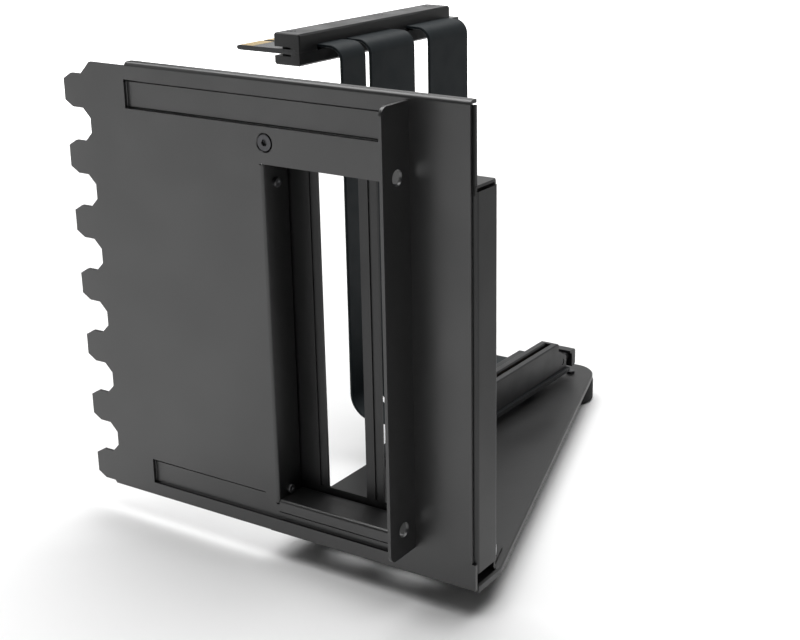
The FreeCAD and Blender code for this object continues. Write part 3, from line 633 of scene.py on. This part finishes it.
class EdgeSizes(bpy.types.PropertyGroup):
    """Rounded edges, the plate's strips and its screw."""

    sheet: FloatProperty(
        name="Sheet edge", description="Rounding of the plate's and the slot frame's edges",
        default=0.18 * MM, unit="LENGTH",
    )
    tray: FloatProperty(
        name="Tray edge", description="Rounding of the tray's and the rubber foot's edges",
        default=0.3 * MM, unit="LENGTH",
    )
    moulded: FloatProperty(
        name="Moulded edge", description="Rounding of the riser slot and its latch",
        default=0.15 * MM, unit="LENGTH",
    )
    plug: FloatProperty(
        name="Plug edge", description="Rounding of the plug's covers and the ribbon hood",
        default=0.35 * MM, unit="LENGTH",
    )
    screw: FloatProperty(
        name="Screw edge", description="Rounding of screws and nuts",
        default=0.12 * MM, unit="LENGTH",
    )
    board: FloatProperty(
        name="Board edge", description="Rounding of the circuit boards",
        default=0.06 * MM, unit="LENGTH",
    )
    ribbon: FloatProperty(
        name="Ribbon edge", description="Rounding of the ribbons' edges",
        default=0.4 * MM, unit="LENGTH",
    )
    screw_share: FloatProperty(
        name="Plate screw", description="Share of its width that the plate screw keeps",
        default=0.92,
    )
    strip_floor: FloatProperty(
        name="Packed strip depth", description="Depth of the strips in the packed plate",
        default=0.6 * MM, unit="LENGTH",
    )
    strip_depth: FloatProperty(
        name="Strip depth", description="Depth of the strips once their walls are upright",
        default=1.15 * MM, unit="LENGTH",
    )
    strip_low: FloatProperty(
        name="Lower strip height",
        description="Height that holds the lower strip's narrow part and nothing over it",
        default=3.2 * MM, unit="LENGTH",
    )
    strip_short: FloatProperty(
        name="Lower strip end",
        description="How far short of its packed end the lower strip ends",
        default=6.8 * MM, unit="LENGTH",
    )
    strip_near: FloatProperty(
        name="Strip near",
        description="Least offset in X or Z from a strip's rim to its floor's corner",
        default=0.55 * MM, unit="LENGTH",
    )
    strip_reach: FloatProperty(
        name="Strip reach",
        description="Greatest distance from a strip's rim to its floor's corner",
        default=0.9 * MM, unit="LENGTH",
    )
    crease_upper: FloatProperty(
        name="Upper crease",
        description="From the upper strip's top edge down to the crease in its floor",
        default=0.42 * MM, unit="LENGTH",
    )
    crease_lower: FloatProperty(
        name="Lower crease",
        description="From the lower strip's top edge down to the crease in its floor",
        default=0.78 * MM, unit="LENGTH",
    )
    crease_foot: FloatProperty(
        name="Foot crease",
        description="From the upper strip's lower edge up to the crease in its floor",
        default=0.27 * MM, unit="LENGTH",
    )


class StageSizes(bpy.types.PropertyGroup):
    """Camera, lights and floor."""

    lens: FloatProperty(
        name="Lens", description="Focal length on a 36 mm wide frame, in millimetres",
        default=65.22,
    )
    shift_x: FloatProperty(
        name="Shift X", description="Sideways shift of the picture, as a share of its width",
        default=-0.12138,
    )
    shift_y: FloatProperty(
        name="Shift Y", description="Upward shift of the picture, as a share of its width",
        default=-0.02853,
    )
    azimuth: FloatProperty(
        name="Azimuth", description="Camera's turn about the upright",
        default=math.radians(30.634), subtype="ANGLE",
    )
    elevation: FloatProperty(
        name="Elevation", description="Camera's height angle",
        default=math.radians(18.208), subtype="ANGLE",
    )
    roll: FloatProperty(
        name="Roll", description="Camera's tilt about its view",
        default=math.radians(0.142), subtype="ANGLE",
    )
    camera_place: FloatVectorProperty(
        name="Camera place", description="Where the camera stands",
        default=(0.259877, -0.384753, 0.214052), subtype="TRANSLATION", unit="LENGTH",
    )
    top_power: FloatProperty(
        name="Top light", description="Power of the soft light overhead, in watts",
        default=31.0,
    )
    back_power: FloatProperty(
        name="Back light", description="Power of the wide soft light behind, in watts",
        default=5.5,
    )
    key_power: FloatProperty(
        name="Key light", description="Power of the soft light in front on the left, in watts",
        default=0.6,
    )
    backdrop: FloatProperty(
        name="Backdrop", description="How bright the camera sees the space behind the object",
        default=1.0,
    )
    sky: FloatProperty(
        name="Sky", description="Strength of the even light all round",
        default=0.04,
    )
    floor_half: FloatProperty(
        name="Floor", description="Half the width of the pale floor",
        default=5.0, unit="LENGTH",
    )
    glow_start: FloatProperty(
        name="Glow start",
        description="Where the floor begins to fade to white, from the object's middle",
        default=0.42, unit="LENGTH",
    )
    glow_full: FloatProperty(
        name="Glow full", description="Where the floor is all white, from the object's middle",
        default=0.85, unit="LENGTH",
    )
    glow_mirrored: FloatProperty(
        name="Mirrored glow", description="Share of the floor's glow that its reflections get",
        default=0.6,
    )
    dim_side: FloatProperty(
        name="Dim side",
        description="Share of its tone that the floor at the back right keeps in reflections",
        default=0.5,
    )


class BRACKET_OT_stage(bpy.types.Operator):
    """Lays the pale floor, sets the soft lights and stands the camera at the photograph's angle"""

    bl_idname = "bracket.stage"
    bl_label = "Stage, light and camera"

    def execute(self, context):
        sizes = context.scene.bracket_stage
        half = sizes.floor_half
        corners = [(-half, -half, 0), (half, -half, 0), (half, half, 0), (-half, half, 0)]
        mesh = bpy.data.meshes.new("floor")
        mesh.from_pydata(corners, [], [(0, 1, 2, 3)])
        mesh.materials.append(pale_floor("floor_pale", (0.9, 0.9, 0.9), sizes))
        floor = bpy.data.objects.new("floor", mesh)
        context.scene.collection.objects.link(floor)
        for name, azimuth, elevation, distance, size, power in LIGHTS:
            soft_light(name, azimuth, elevation, distance, size, getattr(sizes, power))
        context.scene.world = studio_world(sizes)
        context.scene.view_settings.view_transform = "Standard"
        stand_camera(sizes)
        return {"FINISHED"}


class BRACKET_OT_sheets(bpy.types.Operator):
    """Gives the folded plate, the slot frame and the tray rounded edges and their powder paint,
    which is darker on the frame and the tray as painted shade
    """

    bl_idname = "bracket.sheets"
    bl_label = "Painted sheets"

    def execute(self, context):
        sizes = context.scene.bracket_edges
        plate = clean_copy("rear_plate")
        creases = strip_creases(square_strips(plate, sizes), sizes)
        black = powder_coat("powder_black", (0.004, 0.004, 0.0042), 0.36, 1.0, creases)
        # Painted shade: the slot frame and the tray get darker copies of the plate's powder paint,
        # with weaker reflections, which stand in for the deep shade on them.
        shaded_frame_coat = powder_coat("powder_inner", (0.003, 0.003, 0.0032), 0.38, 0.6)
        shaded_tray_coat = powder_coat("powder_tray", (0.0035, 0.0035, 0.0037), 0.4, 0.6)
        finished_piece(
            "rear_plate_form", plate, ["rear_plate"], "bracket", black, sizes.sheet)
        rounded("slot_frame", "bracket", shaded_frame_coat, sizes.sheet)
        rounded("tray", "bracket", shaded_tray_coat, sizes.tray)
        return {"FINISHED"}


class BRACKET_OT_fasteners(bpy.types.Operator):
    """Rounds and plates the screws, nuts and spacers"""

    bl_idname = "bracket.fasteners"
    bl_label = "Screws and nuts"

    def execute(self, context):
        sizes = context.scene.bracket_edges
        edge = sizes.screw
        grey = plated_steel("screw_grey", (0.2, 0.2, 0.205), 0.42)
        for name in ("foot_screw", "tray_screws", "riser_screws", "connector_screws"):
            rounded(name, "bracket", black_screw(), edge)
        sunk = narrower(clean_copy("plate_screw"), sizes.screw_share)
        finished_piece(
            "plate_screw_form", sunk, ["plate_screw"], "bracket", black_screw(), edge)
        rounded("flap_screws", "bracket", grey, edge)
        for name in ("tray_nuts", "riser_spacers"):
            rounded(name, "bracket", zinc_nut(), edge)
        return {"FINISHED"}


class BRACKET_OT_mouldings(bpy.types.Operator):
    """Rounds the moulded pieces: riser slot, latch, hood, plug covers and rubber foot"""

    bl_idname = "bracket.mouldings"
    bl_label = "Moulded pieces"

    def execute(self, context):
        sizes = context.scene.bracket_edges
        slot = moulded_plastic("slot_plastic", (0.012, 0.012, 0.013), 0.4)
        latch = moulded_plastic("latch_plastic", (0.014, 0.014, 0.015), 0.42)
        hood = moulded_plastic("hood_plastic", (0.012, 0.0125, 0.013), 0.5)
        cover = moulded_plastic("plug_plastic", (0.008, 0.0082, 0.0085), 0.34)
        foot = rubber("foot_rubber", (0.012, 0.012, 0.012))
        rounded("riser_slot", "bracket", slot, sizes.moulded)
        rounded("slot_latch", "latch", latch, sizes.moulded)
        rounded("ribbon_hood", "bracket", hood, sizes.plug, 3)
        rounded("connector_cover_top", "bracket", cover, sizes.plug, 3)
        rounded("connector_cover_bottom", "bracket", cover, sizes.plug, 3)
        rounded("foot_pad", "bracket", foot, sizes.tray)
        return {"FINISHED"}


class BRACKET_OT_boards(bpy.types.Operator):
    """Finishes both circuit boards, the spring contacts and the ribbons"""

    bl_idname = "bracket.boards"
    bl_label = "Boards and ribbons"

    def execute(self, context):
        sizes = context.scene.bracket_edges
        board = circuit_board("board_black", (0.012, 0.013, 0.014))
        rounded("riser_board", "bracket", board, sizes.board)
        rounded("connector_board", "bracket", board, sizes.board)
        edge_pads(context.scene.bracket_pads)
        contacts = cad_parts["slot_contacts"].data
        contacts.materials.clear()
        contacts.materials.append(contact_gold())
        jacket = ribbon_jacket("ribbon_jacket", (0.0024, 0.0063, 0.0085))
        for name in ("ribbon_front", "ribbon_middle", "ribbon_rear"):
            rounded(name, "bracket", jacket, sizes.ribbon, 3)
        return {"FINISHED"}


class BRACKET_PT_panel(bpy.types.Panel):
    """A button for each step, and under them every size"""

    bl_idname = "BRACKET_PT_panel"
    bl_label = "Card bracket"
    bl_space_type = "VIEW_3D"
    bl_region_type = "UI"
    bl_category = "Bracket"

    def draw(self, context):
        scene = context.scene
        for step in STEPS:
            self.layout.operator(step.bl_idname)
        for group in (scene.bracket_stage, scene.bracket_edges, scene.bracket_pads):
            for name in type(group).__annotations__:
                self.layout.prop(group, name)


STEPS = (
    BRACKET_OT_stage, BRACKET_OT_sheets, BRACKET_OT_fasteners,
    BRACKET_OT_mouldings, BRACKET_OT_boards,
)
CLASSES = (StageSizes, EdgeSizes, PadSizes) + STEPS + (BRACKET_PT_panel,)


def register():
    for item in CLASSES:
        bpy.utils.register_class(item)
    bpy.types.Scene.bracket_stage = PointerProperty(type=StageSizes)
    bpy.types.Scene.bracket_edges = PointerProperty(type=EdgeSizes)
    bpy.types.Scene.bracket_pads = PointerProperty(type=PadSizes)


def unregister():
    del bpy.types.Scene.bracket_pads
    del bpy.types.Scene.bracket_edges
    del bpy.types.Scene.bracket_stage
    for item in reversed(CLASSES):
        bpy.utils.unregister_class(item)


def main():
    """Runs every step in order."""
    register()
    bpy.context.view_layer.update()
    bpy.ops.bracket.stage()
    bpy.ops.bracket.sheets()
    bpy.ops.bracket.fasteners()
    bpy.ops.bracket.mouldings()
    bpy.ops.bracket.boards()


if __name__ == "__main__":
    main()
